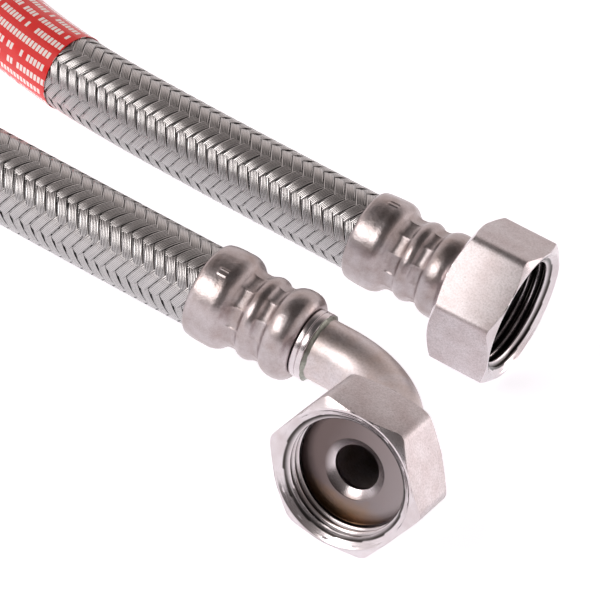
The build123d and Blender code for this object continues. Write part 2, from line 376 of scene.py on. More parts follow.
def lathe(name, outline, materials, place, **options):
    """Closed solid of revolution about the +X axis from an (x, r) outline."""
    angles = [2 * pi * k / LATHE_COLUMNS for k in range(LATHE_COLUMNS)]
    points = [(x, r * cos(a), r * sin(a)) for x, r in outline for a in angles]
    faces = ring_faces(len(outline), LATHE_COLUMNS, True)
    return mesh_piece(name, points, faces, materials, place, **options)


def finish_piece(piece, body, slot, *nodes):
    """Tie a finished piece to its body and hide the nodes it stands for; slot is not used."""
    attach(piece, body)
    if nodes:
        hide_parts(*nodes)
    return piece


# --- materials ---

WIRES_PER_BAND = 7


def drawn_wire(colours):
    """Drawn 304 stainless wire laid side by side in flat bands: bright, with a fine dark line of painted
    shade between one wire and the next, and band edges painted near black as shade. The wires are a little
    coarser than real."""
    material, tree = new_material("drawn_stainless_wire", Metallic=1.0)
    across, along, band = (attribute(tree, name) for name in ("across", "along", "band"))
    wander = noise_over(tree, scaled(tree, along, 1 / 0.005), scaled(tree, band, 7.3))
    shifted = math(tree, "ADD", scaled(tree, across, WIRES_PER_BAND), scaled(tree, wander, 0.9))
    wires = math(tree, "ABSOLUTE", math(tree, "SINE", scaled(tree, shifted, pi)))
    streak = noise_over(tree, scaled(tree, along, 1 / 0.006), scaled(tree, shifted, 2.0),
                        scaled(tree, band, 3.1), detail=3.0)
    wire = linear(colours.wire)
    # Painted shade: the grooves between wires are darkened to a quarter of the wire colour.
    wire_gap_shade = ramp(tree, wires, [(0.0, shade(wire, 0.25)), (0.6, wire), (1.0, wire)])
    # Painted shade: each band's edges go near black, where it passes under its neighbours.
    edge = ramp(tree, scaled(tree, math(tree, "ABSOLUTE", across), 2),
                [(0.88, WHITE), (0.98, (0.03, 0.03, 0.03, 1))])
    tint = ramp(tree, streak, [(0.25, (0.78, 0.77, 0.77, 1)), (0.75, (1.1, 1.09, 1.08, 1))])
    return joined(material, multiply(tree, multiply(tree, wire_gap_shade, tint), edge),
                  bump(tree, wires, 0.000065, 0.7), mapped(tree, streak, 0, 1, 0.2, 0.34))


def stained(tree, base, stain, limits, tint):
    """Base colour that takes on a tint where the stain is strong."""
    return mix_colour(tree, mask(tree, stain, *limits), base, shade(base, *tint))


def speckled(tree, colour, grain, dark, limits):
    """Colour with dark specks in the low parts of a grain."""
    return multiply(tree, colour, ramp(tree, grain, [(limits[0], (*dark, 1)), (limits[1], WHITE)]))


def pressed_stainless(colours):
    """Deep drawn and crimped stainless sleeve: satin, rolled smooth on the ridges, finely pitted
    and a little stained, rougher and more pitted where the jaws gripped."""
    material, tree = new_material("pressed_stainless_sleeve", Metallic=1.0)
    place, gripped = object_place(tree), attribute(tree, "gripped")
    grain = noise(tree, place, 0.0003, 5, 0.75)
    colour = stained(tree, linear(colours.ferrule), noise(tree, place, 0.004, 4), (0.38, 0.75),
                     (0.72, 0.65, 0.61))
    colour = speckled(tree, colour, grain, (0.84, 0.82, 0.81), (0.35, 0.58))
    roughness = math(tree, "ADD", scaled(tree, grain, 0.2, 0.22), scaled(tree, gripped, 0.08))
    smooth = bump(tree, noise(tree, place, 0.0022, 3), 0.0003, 0.4)
    pits = math(tree, "MULTIPLY", grain, math(tree, "ADD", 0.5, gripped))
    return joined(material, colour, bump(tree, pits, 0.00003, 0.7, smooth), roughness)


def plated_body(colours):
    """Nickel plated forged brass: satin flats with the fine pits of a tumbled blank."""
    material, tree = new_material("nickel_plated_forged_brass", Metallic=1.0)
    place = object_place(tree)
    grain = noise(tree, place, 0.0004, 6, 0.8)
    colour = stained(tree, linear(colours.plating), noise(tree, place, 0.005, 3), (0.35, 0.75),
                     (0.84, 0.79, 0.78))
    colour = speckled(tree, colour, grain, (0.66, 0.64, 0.63), (0.36, 0.58))
    pit = node(tree, "ShaderNodeTexVoronoi", {"Vector": place, "Scale": 1 / 0.0026}).outputs["Distance"]
    pits = ramp(tree, pit, [(0.05, (0.35, 0.3, 0.28, 1)), (0.09, WHITE)])
    return joined(material, multiply(tree, colour, pits, 0.4), bump(tree, grain, 0.00005, 0.6),
                  scaled(tree, grain, 0.3, 0.26))


def seat_face_with_painted_shadow(tree, place, stain, plated, base, tarnish):
    """Sealing face drawn dark grey brown, with a painted shadow that darkens it fully towards one side, and a
    warm stain low down.
    """
    spot = node(tree, "ShaderNodeSeparateXYZ", {0: place}).outputs
    side = math(tree, "ADD", spot["X"], scaled(tree, stain, 0.008))
    height = math(tree, "ADD", spot["Z"], scaled(tree, stain, 0.006))
    # Painted shadow: the face goes fully dark towards one side of the nut and stays partly dark on the other.
    dark = mix_colour(tree, mapped(tree, side, 0.0, 0.02, 1.0, 0.68), plated,
                      shade(base, 0.2, 0.165, 0.155))
    return mix_colour(tree, mapped(tree, height, -0.0085, -0.004, 0.75, 0.0), dark, tarnish)


def plated_turned(colours, name="nickel_plated_turned_brass", stained_and_shadowed=False):
    """Nickel plated turned brass: smooth, with the fine rings that a lathe tool leaves. The hollows
    of a thread are painted near black as shade, and a sealing face is drawn dark with a painted shadow to one
    side and a warm stain."""
    material, tree = new_material(name, Metallic=1.0)
    place = object_place(tree)
    stain, fine = noise(tree, place, 0.0045, 3), noise(tree, place, 0.0003, 4, 0.6)
    base = linear(colours.plating)
    plated = stained(tree, base, stain, (0.4, 0.75), (0.84, 0.8, 0.79))
    # Painted shade: near black for the hollows of a thread deep in a nut's mouth.
    inside = (0.05, 0.043, 0.04, 1)
    if stained_and_shadowed:
        inside = seat_face_with_painted_shadow(tree, place, stain, plated, base, linear(colours.tarnish))
    colour = mix_colour(tree, attribute(tree, "painted_shade_and_stain"), plated, inside)
    rings = math(tree, "SINE", scaled(tree, attribute(tree, "turned"), 2 * pi / 0.00022))
    return joined(material, colour, bump(tree, rings, 0.000006, 0.6, bump(tree, fine, 0.00002, 0.3)),
                  scaled(tree, fine, 0.14, 0.15))


def plated_drawn_tube(colours):
    """Nickel plated drawn brass tube: bright, with a fine orange peel from bending."""
    material, tree = new_material("nickel_plated_drawn_tube", Metallic=1.0)
    place = object_place(tree)
    grain = noise(tree, place, 0.0005, 6, 0.8)
    colour = stained(tree, linear(colours.plating), noise(tree, place, 0.006, 4), (0.35, 0.7),
                     (0.86, 0.78, 0.72))
    colour = speckled(tree, colour, grain, (0.78, 0.76, 0.75), (0.36, 0.56))
    return joined(material, colour, bump(tree, grain, 0.00006, 0.6), scaled(tree, grain, 0.24, 0.26))


def brazed_seam(colours):
    """Plated brazing alloy: rough and lumpy, greenish grey where flux has stained it."""
    material, tree = new_material("brazed_seam", Metallic=1.0)
    lumps = noise(tree, object_place(tree), 0.0008, 4)
    colour = stained(tree, linear(colours.braze), lumps, (0.35, 0.65), (1.5,))
    return joined(material, colour, bump(tree, lumps, 0.00012, 0.8), scaled(tree, lumps, 0.3, 0.25))


def moulded_rubber(colours):
    """Moulded EPDM rubber: bluish black and matt, with a faint bloom."""
    material, tree = new_material("moulded_epdm_rubber", IOR=1.52)
    place = object_place(tree)
    bloom = noise(tree, place, 0.002, 4)
    base = linear(colours.rubber)
    return joined(material, mix_colour(tree, bloom, base, shade(base, 2.2)),
                  bump(tree, noise(tree, place, 0.0003, 3), 0.00002, 0.4), scaled(tree, bloom, 0.2, 0.4))


def printed_film(colours):
    """Printed polyester film, laminated: glossy red with rows of plain white bars."""
    material, tree = new_material("printed_polyester_film", Roughness=0.2, IOR=1.5)
    along, around = attribute(tree, "along"), attribute(tree, "around")
    row_height, bar_length, printed_share = 0.0031, 0.0011, 0.78
    row = math(tree, "DIVIDE", around, row_height)
    cell = math(tree, "DIVIDE", along, bar_length)

    def near_middle(value, reach):
        off = math(tree, "SUBTRACT", math(tree, "FRACT", value), 0.5)
        return math(tree, "LESS_THAN", math(tree, "ABSOLUTE", off), reach)

    number = node(tree, "ShaderNodeCombineXYZ", {
        "X": math(tree, "FLOOR", cell), "Y": math(tree, "FLOOR", row)}).outputs[0]
    pick = node(tree, "ShaderNodeTexWhiteNoise", {"Vector": number}).outputs["Value"]
    bars = math(tree, "MULTIPLY", near_middle(row, 0.24), near_middle(cell, 0.36))
    printed = math(tree, "MULTIPLY", bars, math(tree, "GREATER_THAN", pick, 1 - printed_share))
    label = linear(colours.label)
    film = mix_colour(tree, noise(tree, object_place(tree), 0.004, 3), label, shade(label, 0.8))
    wrinkles = noise_over(tree, scaled(tree, along, 1 / 0.009), scaled(tree, around, 1 / 0.0035))
    return joined(material, mix_colour(tree, printed, film, linear(colours.print_colour)),
                  bump(tree, wrinkles, 0.0006, 0.5))


def painted_floor(colours):
    """Plain matt sweep that gives a little light of its own, as a light table does."""
    paint = linear(colours.floor)
    return new_material("plain_sweep", **{
        "Roughness": 0.9, "Base Color": paint, "Emission Color": paint, "Emission Strength": 0.74})[0]


# --- the hose ---

def new_route(name):
    """The hose's centre line as one smooth spline."""
    curve = bpy.data.curves.new(name, "CURVE")
    curve.dimensions = "3D"
    spline = curve.splines.new("NURBS")
    spline.points.add(len(HOSE_ROUTE) - 1)
    for point, place in zip(spline.points, HOSE_ROUTE):
        point.co = (*place, 1)
    spline.order_u = 3
    spline.use_endpoint_u = True
    curve.resolution_u = 32
    return placed(name, curve)


def centre_line():
    """Points along the hose's spline, and the distance of each from its start."""
    bare = new_route("bare_route")
    mesh = bpy.data.meshes.new_from_object(bare)
    points = np.array([v.co for v in mesh.vertices])
    bpy.data.meshes.remove(mesh)
    bpy.data.curves.remove(bare.data)
    steps = np.linalg.norm(np.diff(points, axis=0), axis=1)
    return points, np.concatenate([[0], np.cumsum(steps)])


# Inputs of the braid's node group: name, kind and default.
BRAID_INPUTS = (
    ("Route", "Object", None), ("Bands", "Int", 6), ("Spacing", "Float", 1.0),
    ("Start", "Float", 0.0), ("Floats", "Float", 6.0), ("Lead", "Float", 0.03),
    ("Hand", "Float", 1.0), ("Radius", "Float", 0.0087), ("Lift", "Float", 0.00015),
    ("Band Width", "Float", 0.0022), ("Band Thickness", "Float", 0.0003), ("Phase", "Float", 0.0),
    ("Twist", "Float", 0.0), ("Points", "Int", 1200), ("Wander", "Float", 0.03),
    ("Unevenness", "Float", 0.00005), ("Seed", "Int", 7), ("Material", "Material", None),
)
WOBBLE_LENGTH, WOBBLE_STEP = 0.012, 9.7
CROSSING_SHARPNESS = 1.5
FLAT_SIDE, CROWN_POWER = 0.565, 0.4


def braid_tree():
    """Geometry nodes that lay flat bands of wire in helixes round a route, over two and under two."""
    group = bpy.data.node_groups.new("braid_round_a_route", "GeometryNodeTree")
    new_socket = group.interface.new_socket
    new_socket("Geometry", in_out="INPUT", socket_type="NodeSocketGeometry")
    names = {}
    for name, kind, default in BRAID_INPUTS:
        socket = new_socket(name, in_out="INPUT", socket_type="NodeSocket" + kind)
        if default is not None:
            socket.default_value = default
        names[name] = socket.identifier
    new_socket("Geometry", in_out="OUTPUT", socket_type="NodeSocketGeometry")
    given = node(group, "NodeGroupInput").outputs

    def first_of(kind, inputs=None, **settings):
        return node(group, "GeometryNode" + kind, inputs, **settings).outputs[0]

    def calc(operation, *values):
        return math(group, operation, *values)

    def between(value, low, high):
        return calc("MINIMUM", calc("MAXIMUM", value, low), high)

    def vector(operation, first, second):
        key = "Scale" if operation == "SCALE" else 1
        return node(group, "ShaderNodeVectorMath", {0: first, key: second}, operation=operation).outputs[0]

    def stored(geometry, name, value):
        return first_of("StoreNamedAttribute", {"Geometry": geometry, "Name": name, "Value": value},
                        data_type="FLOAT", domain="POINT")

    # One straight line of points for each band.
    route = node(group, "GeometryNodeObjectInfo", {"Object": given["Route"]}).outputs["Geometry"]
    length = first_of("CurveLength", {"Curve": route})
    line = first_of("ResampleCurve", {"Curve": first_of("CurvePrimitiveLine"), "Count": given["Points"]})
    copies = node(group, "GeometryNodeDuplicateElements", {
        "Geometry": line, "Amount": given["Bands"]}, domain="SPLINE").outputs

    # Where each point lies along the route and round it.
    index = node(group, "GeometryNodeSplineParameter").outputs["Index"]
    share = calc("DIVIDE", index, calc("SUBTRACT", given["Points"], 1))
    along = calc("MULTIPLY", share, length)
    turn = calc("MULTIPLY", calc("DIVIDE", along, given["Lead"]), calc("MULTIPLY", given["Hand"], 2 * pi))
    first = calc("ADD", given["Start"], calc("MULTIPLY", copies["Duplicate Index"], given["Spacing"]))
    wobble = calc("SUBTRACT", noise_over(
        group, scaled(group, along, 1 / WOBBLE_LENGTH), scaled(group, first, WOBBLE_STEP), given["Seed"],
        detail=1.0), 0.5)
    angle = calc("ADD", calc("ADD", turn, first), calc("MULTIPLY", wobble, given["Wander"]))

    # How far out it lies: over two bands of the other hand, then under two.
    floats = calc("MULTIPLY", calc("SUBTRACT", angle, given["Phase"]), given["Floats"])
    steepness = calc("MULTIPLY", given["Hand"], CROSSING_SHARPNESS)
    level = between(calc("MULTIPLY", calc("COSINE", floats), steepness), -1, 1)
    lifted = calc("ADD", calc("MULTIPLY", level, given["Lift"]),
                  calc("MULTIPLY", wobble, given["Unevenness"]))
    radius = calc("ADD", given["Radius"], lifted)

    # The point itself, on the route's own side and up vectors.
    sample = node(group, "GeometryNodeSampleCurve", {"Curves": route, "Length": along}, mode="LENGTH").outputs
    side = vector("CROSS_PRODUCT", sample["Tangent"], sample["Normal"])
    turned = calc("ADD", angle, calc("MULTIPLY", share, given["Twist"]))
    outwards = vector("ADD", vector("SCALE", sample["Normal"], calc("COSINE", turned)),
                      vector("SCALE", side, calc("SINE", turned)))
    place = vector("ADD", sample["Position"], vector("SCALE", outwards, radius))
    helixes = first_of("SetPosition", {"Geometry": copies["Geometry"], "Position": place})
    helixes = first_of("SetCurveNormal", {"Curve": helixes, "Normal": outwards}, mode="FREE")
    helixes = stored(stored(helixes, "along", along), "band", first)

    # A flat section with crowned faces, swept along each helix.
    circle = first_of("CurvePrimitiveCircle", {"Resolution": 12, "Radius": 1.0})
    spot = node(group, "ShaderNodeSeparateXYZ", {0: first_of("InputPosition")}).outputs
    across = between(calc("MULTIPLY", spot["X"], FLAT_SIDE), -0.5, 0.5)
    circle = stored(circle, "across", across)
    crown = calc("MULTIPLY", calc("SIGN", spot["Y"]), calc("POWER", calc("ABSOLUTE", spot["Y"]), CROWN_POWER))
    section = first_of("SetPosition", {
        "Geometry": circle,
        "Position": node(group, "ShaderNodeCombineXYZ", {
            "X": calc("MULTIPLY", crown, calc("MULTIPLY", given["Band Thickness"], 0.5)),
            "Y": calc("MULTIPLY", across, given["Band Width"])}).outputs[0]})
    bands = first_of("CurveToMesh", {"Curve": helixes, "Profile Curve": section, "Fill Caps": True})
    bands = first_of("SetShadeSmooth", {"Geometry": bands})
    plain = first_of("RealizeInstances", {"Geometry": bands})
    done = first_of("SetMaterial", {"Geometry": plain, "Material": given["Material"]})
    node(group, "NodeGroupOutput", {"Geometry": done})
    return group, names


def braid_layer(name, group, names, values):
    """One share of the braid as a plain mesh."""
    host = placed(name + "_host", bpy.data.meshes.new(name + "_host"))
    modifier = host.modifiers.new("braid", "NODES")
    modifier.node_group = group
    for key, value in values.items():
        modifier[names[key]] = value
    view = bpy.context.evaluated_depsgraph_get()
    mesh = bpy.data.meshes.new_from_object(host.evaluated_get(view))
    mesh.name = name
    host.modifiers.remove(modifier)
    bpy.data.objects.remove(host)
    if not mesh.polygons:
        raise RuntimeError(f"{name} came out empty")
    return placed(name, mesh)


class MakeHose(bpy.types.Operator):
    """Make the rubber liner and the braid woven over it"""

    bl_idname = "supply_line.make_hose"
    bl_label = "Hose and Braid"

    def execute(self, context):
        sizes, colours = context.scene.supply_line_sizes, context.scene.supply_line_colours
        liner = new_route("rubber_liner")
        liner.data.bevel_depth = sizes.liner_diameter / 2
        liner.data.bevel_resolution = 8
        liner.data.use_fill_caps = True
        liner.data.materials.append(moulded_rubber(colours))
        finish_piece(liner, HOSE_BODY, "liner_rubber", "inner_hose")

        route = new_route("braid_route")
        group, names = braid_tree()
        bands = sizes.bands_each_way
        crossings = sizes.hose_length / sizes.braid_lead * 2 * bands
        shared = {
            "Route": route, "Bands": bands // 2, "Spacing": 4 * pi / bands, "Floats": bands / 2,
            "Lead": sizes.braid_lead, "Radius": sizes.hose_diameter / 2 - sizes.wire_diameter,
            "Lift": sizes.wire_diameter / 2, "Band Width": sizes.band_width,
            "Band Thickness": sizes.wire_diameter, "Phase": sizes.braid_phase,
            "Twist": sizes.braid_twist, "Points": int(crossings * 2), "Wander": 0.07,
            "Unevenness": 0.00008, "Seed": 7, "Material": drawn_wire(colours)}
        for number in range(4):
            hand, share = (1.0, -1.0)[number // 2], number % 2
            values = {**shared, "Start": 2 * pi * share / bands, "Hand": hand}
            piece = braid_layer(f"braid_bands_{number + 1}", group, names, values)
            finish_piece(piece, HOSE_BODY, "braid_steel", "wire_braid")
        bpy.data.curves.remove(route.data)
        label = make_label(sizes, colours)
        return {"FINISHED"}


def cross_vectors(points):
    """Side and up vectors along a line, turned no more than it bends."""
    tangents = np.gradient(points, axis=0)
    tangents /= np.linalg.norm(tangents, axis=1)[:, None]
    up = np.array([0.0, 0.0, 1.0])
    sides, ups = [], []
    for tangent in tangents:
        up = up - tangent * (up @ tangent)
        up /= np.linalg.norm(up)
        ups.append(up)
        sides.append(np.cross(tangent, up))
    return np.array(sides), np.array(ups)


def make_label(sizes, colours):
    """Film wrapped once round the braid, with its end lapped over its start."""
    row_gap, columns, film, lap = 0.0005, 120, 0.00012, radians(20)
    base = sizes.hose_diameter / 2 + film / 2
    lap_start, lap_slope, lap_height = 0.9, 0.05, film * 1.4
    points, along = centre_line()
    fine = np.arange(sizes.label_start, sizes.label_start + sizes.label_length, row_gap)
    line = np.stack([np.interp(fine, along, points[:, k]) for k in range(3)], axis=1)
    sides, ups = cross_vectors(line)
    rows = []
    for thickness in (film, 0):
        for i in range(len(line)):
            for c in range(columns + 1):
                turn = -lap / 2 + (2 * pi + lap) * c / columns - pi / 2
                step = lap_height * min(1, max(0, (c / columns - lap_start) / lap_slope))
                r = base + step + thickness
                rows.append(line[i] + r * (cos(turn) * sides[i] + sin(turn) * ups[i]))
    count, width = len(line), columns + 1
    faces = []

    def at(layer, i, c):
        return layer * count * width + i * width + c

    for i in range(count - 1):
        for c in range(columns):
            faces.append((at(0, i, c), at(0, i, c + 1), at(0, i + 1, c + 1), at(0, i + 1, c)))
            faces.append((at(1, i, c), at(1, i + 1, c), at(1, i + 1, c + 1), at(1, i, c + 1)))
        for c in (0, columns):
            faces.append((at(0, i, c), at(0, i + 1, c), at(1, i + 1, c), at(1, i, c)))
    for i in (0, count - 1):
        for c in range(columns):
            faces.append((at(0, i, c), at(1, i, c), at(1, i, c + 1), at(0, i, c + 1)))
    around = [base * (2 * pi + lap) * (k % width) / columns for k in range(len(rows))]
    distance = [fine[(k % (count * width)) // width] for k in range(len(rows))]
    piece = mesh_piece("wrapped_label", rows, faces, [printed_film(colours)],
                       attributes={"along": distance, "around": around}, angle=50)
    return finish_piece(piece, HOSE_BODY, "label_film", "label_wrap")


# --- the ferrules ---

# Outline of the crimped sleeve, in millimetres: (from its mouth, radius).
SLEEVE_OUTLINE = [
    (0.0, 9.85), (0.3, 10.1), (1.0, 10.32), (2.4, 10.5), (4.6, 10.58), (6.6, 10.48),
    (7.8, 9.95), (8.8, 9.05), (9.7, 8.55), (10.7, 8.45), (11.7, 8.6), (12.6, 9.05),
    (13.6, 9.3), (14.6, 9.1), (15.5, 8.62), (16.5, 8.45), (17.4, 8.65), (18.2, 9.25),
    (19.3, 9.7), (20.5, 9.85), (21.7, 9.75), (22.8, 9.35), (23.6, 8.6), (24.1, 7.75),
]
GROOVE_R = 8.45 * MM
GROOVES_START, SECOND_GROOVE, GROOVES_END = 0.0086, 0.0137, 0.0178
JAW_RIDGE, RIDGE_SHARE, GRIP_FADE = 0.0001, 0.05, 0.0005
# Two raised dashes on the bell.
DASH_X, DASH_REACH, DASH_HALF_WIDTH, DASH_HEIGHT, DASH_ANGLE = 0.0046, 0.0013, 0.0003, 0.00016, 0.055


def smooth_through(points, at):
    """Smooth curve through (x, y) points, read at the given x values."""
    xs, ys = np.array(points).T
    slopes = np.gradient(ys, xs)
    i = np.clip(np.searchsorted(xs, at) - 1, 0, len(xs) - 2)
    gap = xs[i + 1] - xs[i]
    t = (at - xs[i]) / gap
    return ((1 + 2 * t) * (1 - t) ** 2 * ys[i] + t * (1 - t) ** 2 * gap * slopes[i]
            + t * t * (3 - 2 * t) * ys[i + 1] + t * t * (t - 1) * gap * slopes[i + 1])


def pressed_flat(a, jaws, depths):
    """How much lower than a round groove the jaws press it at angle a, less the raised line that
    is left between two jaws."""
    number, within = divmod(a * jaws / (2 * pi), 1)
    within -= 0.5
    flat = GROOVE_R * (1 - cos(pi / jaws) / cos(within * 2 * pi / jaws))
    return flat + depths[int(number) % jaws] - JAW_RIDGE * max(0, 1 - (0.5 - abs(within)) / RIDGE_SHARE)


def ferrule_piece(name, cad_name, centre, mark_angle, material, sizes, seed):
    """Crimped sleeve with the flats of the jaws pressed into its two grooves."""
    mouth, columns, wall, station_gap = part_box(cad_name)[0].x, 288, 0.0006, 0.16
    stations = np.arange(0, SLEEVE_OUTLINE[-1][0] + 0.01, station_gap)
    radii = smooth_through(SLEEVE_OUTLINE, stations) * MM
    stations = stations * MM
    rng = np.random.default_rng(seed)
    depths = [rng.uniform(-0.00006, 0.00008, sizes.jaws) for _ in range(2)]
    waves = [(n, rng.uniform(0, 2 * pi), rng.uniform(-250, 250), 0.00007 / n ** 0.5) for n in (2, 3, 5, 7)]
    angles = [2 * pi * k / columns for k in range(columns)]
    points, gripped = [], []
    for s, r in zip(stations, radii):
        grip = max(0.0, 1 - (r - GROOVE_R) / GRIP_FADE) if GROOVES_START < s < GROOVES_END else 0.0
        along_dash = abs(s - DASH_X)
        for a in angles:
            height = r + sum(h * sin(n * a + p + s * q) for n, p, q, h in waves) * min(1, 0.3 + s / 0.003)
            if grip:
                jaw_depths = depths[int(s > SECOND_GROOVE)]
                height -= grip * pressed_flat((a - mark_angle) % (2 * pi), sizes.jaws, jaw_depths)
            for offset in (-DASH_ANGLE, DASH_ANGLE):
                side = (((a - mark_angle + offset + pi) % (2 * pi)) - pi) * r
                if along_dash < DASH_REACH and abs(side) < DASH_HALF_WIDTH:
                    height += (DASH_HEIGHT * (1 - (side / DASH_HALF_WIDTH) ** 2)
                               * min(1, (DASH_REACH - along_dash) / DASH_HALF_WIDTH))
            points.append((mouth + s, height * cos(a), height * sin(a)))
            gripped.append(grip)
    inner_rows, pressed_in = 40, 0.0004
    inner = np.linspace(len(stations) - 1, 0, inner_rows).astype(int)
    for i in inner:
        r = radii[i] - wall - (pressed_in if radii[i] < GROOVE_R + wall else 0)
        points += [(mouth + stations[i], r * cos(a), r * sin(a)) for a in angles]
        gripped += [0.0] * columns
    place = Matrix.Translation((0, *centre))
    piece = mesh_piece(name, points, ring_faces(len(stations) + len(inner), columns, True), [material],
                       place, attributes={"gripped": gripped}, angle=60)
    return finish_piece(piece, HOSE_BODY, "ferrule_steel", cad_name)


class MakeFerrules(bpy.types.Operator):
    """Make both crimped ferrules"""

    bl_idname = "supply_line.make_ferrules"
    bl_label = "Ferrules"

    def execute(self, context):
        sizes, colours = context.scene.supply_line_sizes, context.scene.supply_line_colours
        steel = pressed_stainless(colours)
        ferrule_piece("straight_crimped_ferrule", "straight_ferrule", (0.0, 0.0), radians(96),
                      steel, sizes, 11)
        ferrule_piece("elbow_crimped_ferrule", "elbow_ferrule", (ELBOW_LEG_Y, ELBOW_Z), radians(122),
                      steel, sizes, 12)
        return {"FINISHED"}


# --- the nuts ---

MOUTH_R = 0.0146
# The cone in a nut's mouth, with a turned line near its edge: depths and radii.
CONE_DEPTHS = (0, 0.00026, 0.00032, 0.00038, 0.00085, 0.0014)
CONE_RADII = (MOUTH_R, 0.01417, 0.0142, 0.01398, 0.0132, THREAD_R)
CORNER_CUT, EDGE_SOFTNESS, WEB, SMALL_EDGE = 0.00134, 0.00022, 0.003, 0.0002
STEPS_PER_TURN = 14
# Degrees from a corner at which a nut's outline has points.
CORNER_STEPS = [0, 0.4, 0.8, 1.2, 1.6, 2.6, 4] + [4 + 2 * k for k in range(1, 14)]
FORGED_RINGS = range(4, 8)


def hexagon_radius(angle, across_flats, rounding):
    """Distance from the axis to a hexagon's side, with its corners at multiples of 60 degrees."""
    inner = across_flats / 2
    from_corner = abs((angle + pi / 6) % (pi / 3) - pi / 6)
    from_flat = pi / 6 - from_corner
    if tan(from_flat) * inner < (inner - rounding) * tan(pi / 6):
        return inner / cos(from_flat)
    centre = (inner - rounding) / cos(pi / 6)
    return centre * cos(from_corner) + (rounding ** 2 - (centre * sin(from_corner)) ** 2) ** 0.5


def thread_radius(phase, crest_r, depth):
    """Radius of an internal 55 degree thread with rounded crests and roots; phase 0 is a crest."""
    reach = abs((phase + 0.5) % 1 - 0.5) * 2
    slope = min(1, max(0, (reach - 0.1) / 0.8))
    return crest_r + depth * slope * slope * (3 - 2 * slope) * 0.5 + depth * slope * 0.5


def nut_outline(hex_r, flat_r, length, hole_r, root_r, thread_back):
    """(x, r) outline at one angle, from the mouth over the outside to the thread's end."""
    slope = CORNER_CUT / (flat_r / cos(pi / 6) - flat_r)
    soft, nick, small = EDGE_SOFTNESS, 0.00005, SMALL_EDGE
    chamfer = max(flat_r, hex_r - soft)
    edge = slope * (hex_r - flat_r)
    front = [(0.0, flat_r - 2 * nick), (-nick, flat_r), (-slope * (chamfer - flat_r), chamfer),
             (-edge - soft * 0.35, hex_r - soft * 0.12), (-edge - soft, hex_r)]
    back = [(-length - x, r) for x, r in reversed(front)]
    web = -length + WEB
    return [(0.0, MOUTH_R + 0.00004), *front, (-length / 2, hex_r), *back,
            (-length, hole_r + small), (-length + small, hole_r), (web - small, hole_r),
            (web, hole_r + small), (web, root_r), (-thread_back, root_r)]


def nut_piece(name, cad_name, body, place, materials, sizes, *,
              length, thread_back, thread_start, hole_r, turn):
    """Hexagon nut from its front face at x = 0 back to x = -length, threaded from its mouth."""
    degrees = {round(60 * c + s * d, 4) % 360 for c in range(6) for d in CORNER_STEPS for s in (1, -1)}
    angles = [radians(a) for a in sorted(degrees)]
    columns, per_turn = len(angles), STEPS_PER_TURN
    flat_r, pitch, depth = sizes.across_flats / 2, sizes.thread_pitch, sizes.thread_depth
    step = pitch / per_turn
    rows = int(thread_back / step) + per_turn + 2
    points, turned, painted_shade_and_stain = [], [], []

    def add(x, r, a, thread_shade=0):
        points.append((x, r * cos(a + turn), r * sin(a + turn)))
        turned.append(r - x)
        painted_shade_and_stain.append(thread_shade)

    for j in range(rows):
        for a in angles:
            x = min(0.0, max(-thread_back, pitch * a / (2 * pi) - j * step))
            phase = (x - pitch * a / (2 * pi) + thread_start) / pitch
            r = max(thread_radius(phase, THREAD_R, depth), np.interp(-x, CONE_DEPTHS, CONE_RADII))
            # Painted shade: past 0.8 mm into the mouth, the colour goes near black towards the thread's
            # roots.
            add(x, r, a, min(1, max(0, (r - THREAD_R) / depth - 0.12) * 1.6) if -x > 0.0008 else 0)
    outer = [nut_outline(hexagon_radius(a, sizes.across_flats, sizes.corner_radius), flat_r, length, hole_r,
                         THREAD_R + depth, thread_back) for a in angles]
    rings = len(outer[0])
    for ring in range(rings):
        for a, profile in zip(angles, outer):
            add(*profile[ring], a)

    faces, indexes = [], []
    for j in range(rows - 1):
        for c in range(columns):
            wrap = c == columns - 1
            d = 0 if wrap else c + 1
            near, far = (max(j - per_turn, 0), max(j + 1 - per_turn, 0)) if wrap else (j, j + 1)
            corners = [j * columns + c, near * columns + d, far * columns + d, (j + 1) * columns + c]
            if len(set(corners)) > 2:
                faces.append(list(dict.fromkeys(corners)))
                indexes.append(1)
    first = rows * columns
    for number, (a, b, c, d) in enumerate(ring_faces(rings, columns)):
        faces.append((first + a, first + b, first + c, first + d))
        indexes.append(0 if number // columns in FORGED_RINGS else 1)
    last, thread_end = first + (rings - 1) * columns, (rows - 1) * columns
    for c in range(columns):
        d = (c + 1) % columns
        faces.append((c, d, first + d, first + c))
        faces.append((last + c, last + d, thread_end + d, thread_end + c))
        indexes += [1, 1]
    piece = mesh_piece(name, points, faces, materials, place, indexes=indexes,
                       attributes={"turned": turned, "painted_shade_and_stain": painted_shade_and_stain}, angle=24)
    return finish_piece(piece, body, "nut_brass", cad_name)


class MakeNuts(bpy.types.Operator):
    """Make both swivel nuts with their threads"""

    bl_idname = "supply_line.make_nuts"
    bl_label = "Swivel Nuts"

    def execute(self, context):
        sizes, colours = context.scene.supply_line_sizes, context.scene.supply_line_colours
        materials = [plated_body(colours), plated_turned(colours)]
        nut_piece("straight_swivel_nut", "straight_nut", "straight_swivel",
                  Matrix.Translation((NUT_BOX[1].x, 0, 0)), materials, sizes,
                  length=NUT_BOX[1].x - NUT_BOX[0].x, thread_back=NUT_BOX[1].x - GASKET_BOX[1].x,
                  thread_start=0.0, hole_r=0.00785, turn=radians(-6.8))
        nut_piece("elbow_swivel_nut", "elbow_nut", "elbow_swivel", ELBOW_NUT_PLACE, materials, sizes,
                  length=ELBOW_NUT_BOX[1].y - ELBOW_FRONT_Y, thread_back=SEAT_BOX[0].y - ELBOW_FRONT_Y,
                  thread_start=0.0007, hole_r=0.007, turn=0.0)
        return {"FINISHED"}


# --- the elbow ---

TUBE_R, BORE_R, BEND_R = 0.00665, 0.005, 0.0215
ALONG_X, ALONG_Y, UP = Vector((1, 0, 0)), Vector((0, 1, 0)), Vector((0, 0, 1))


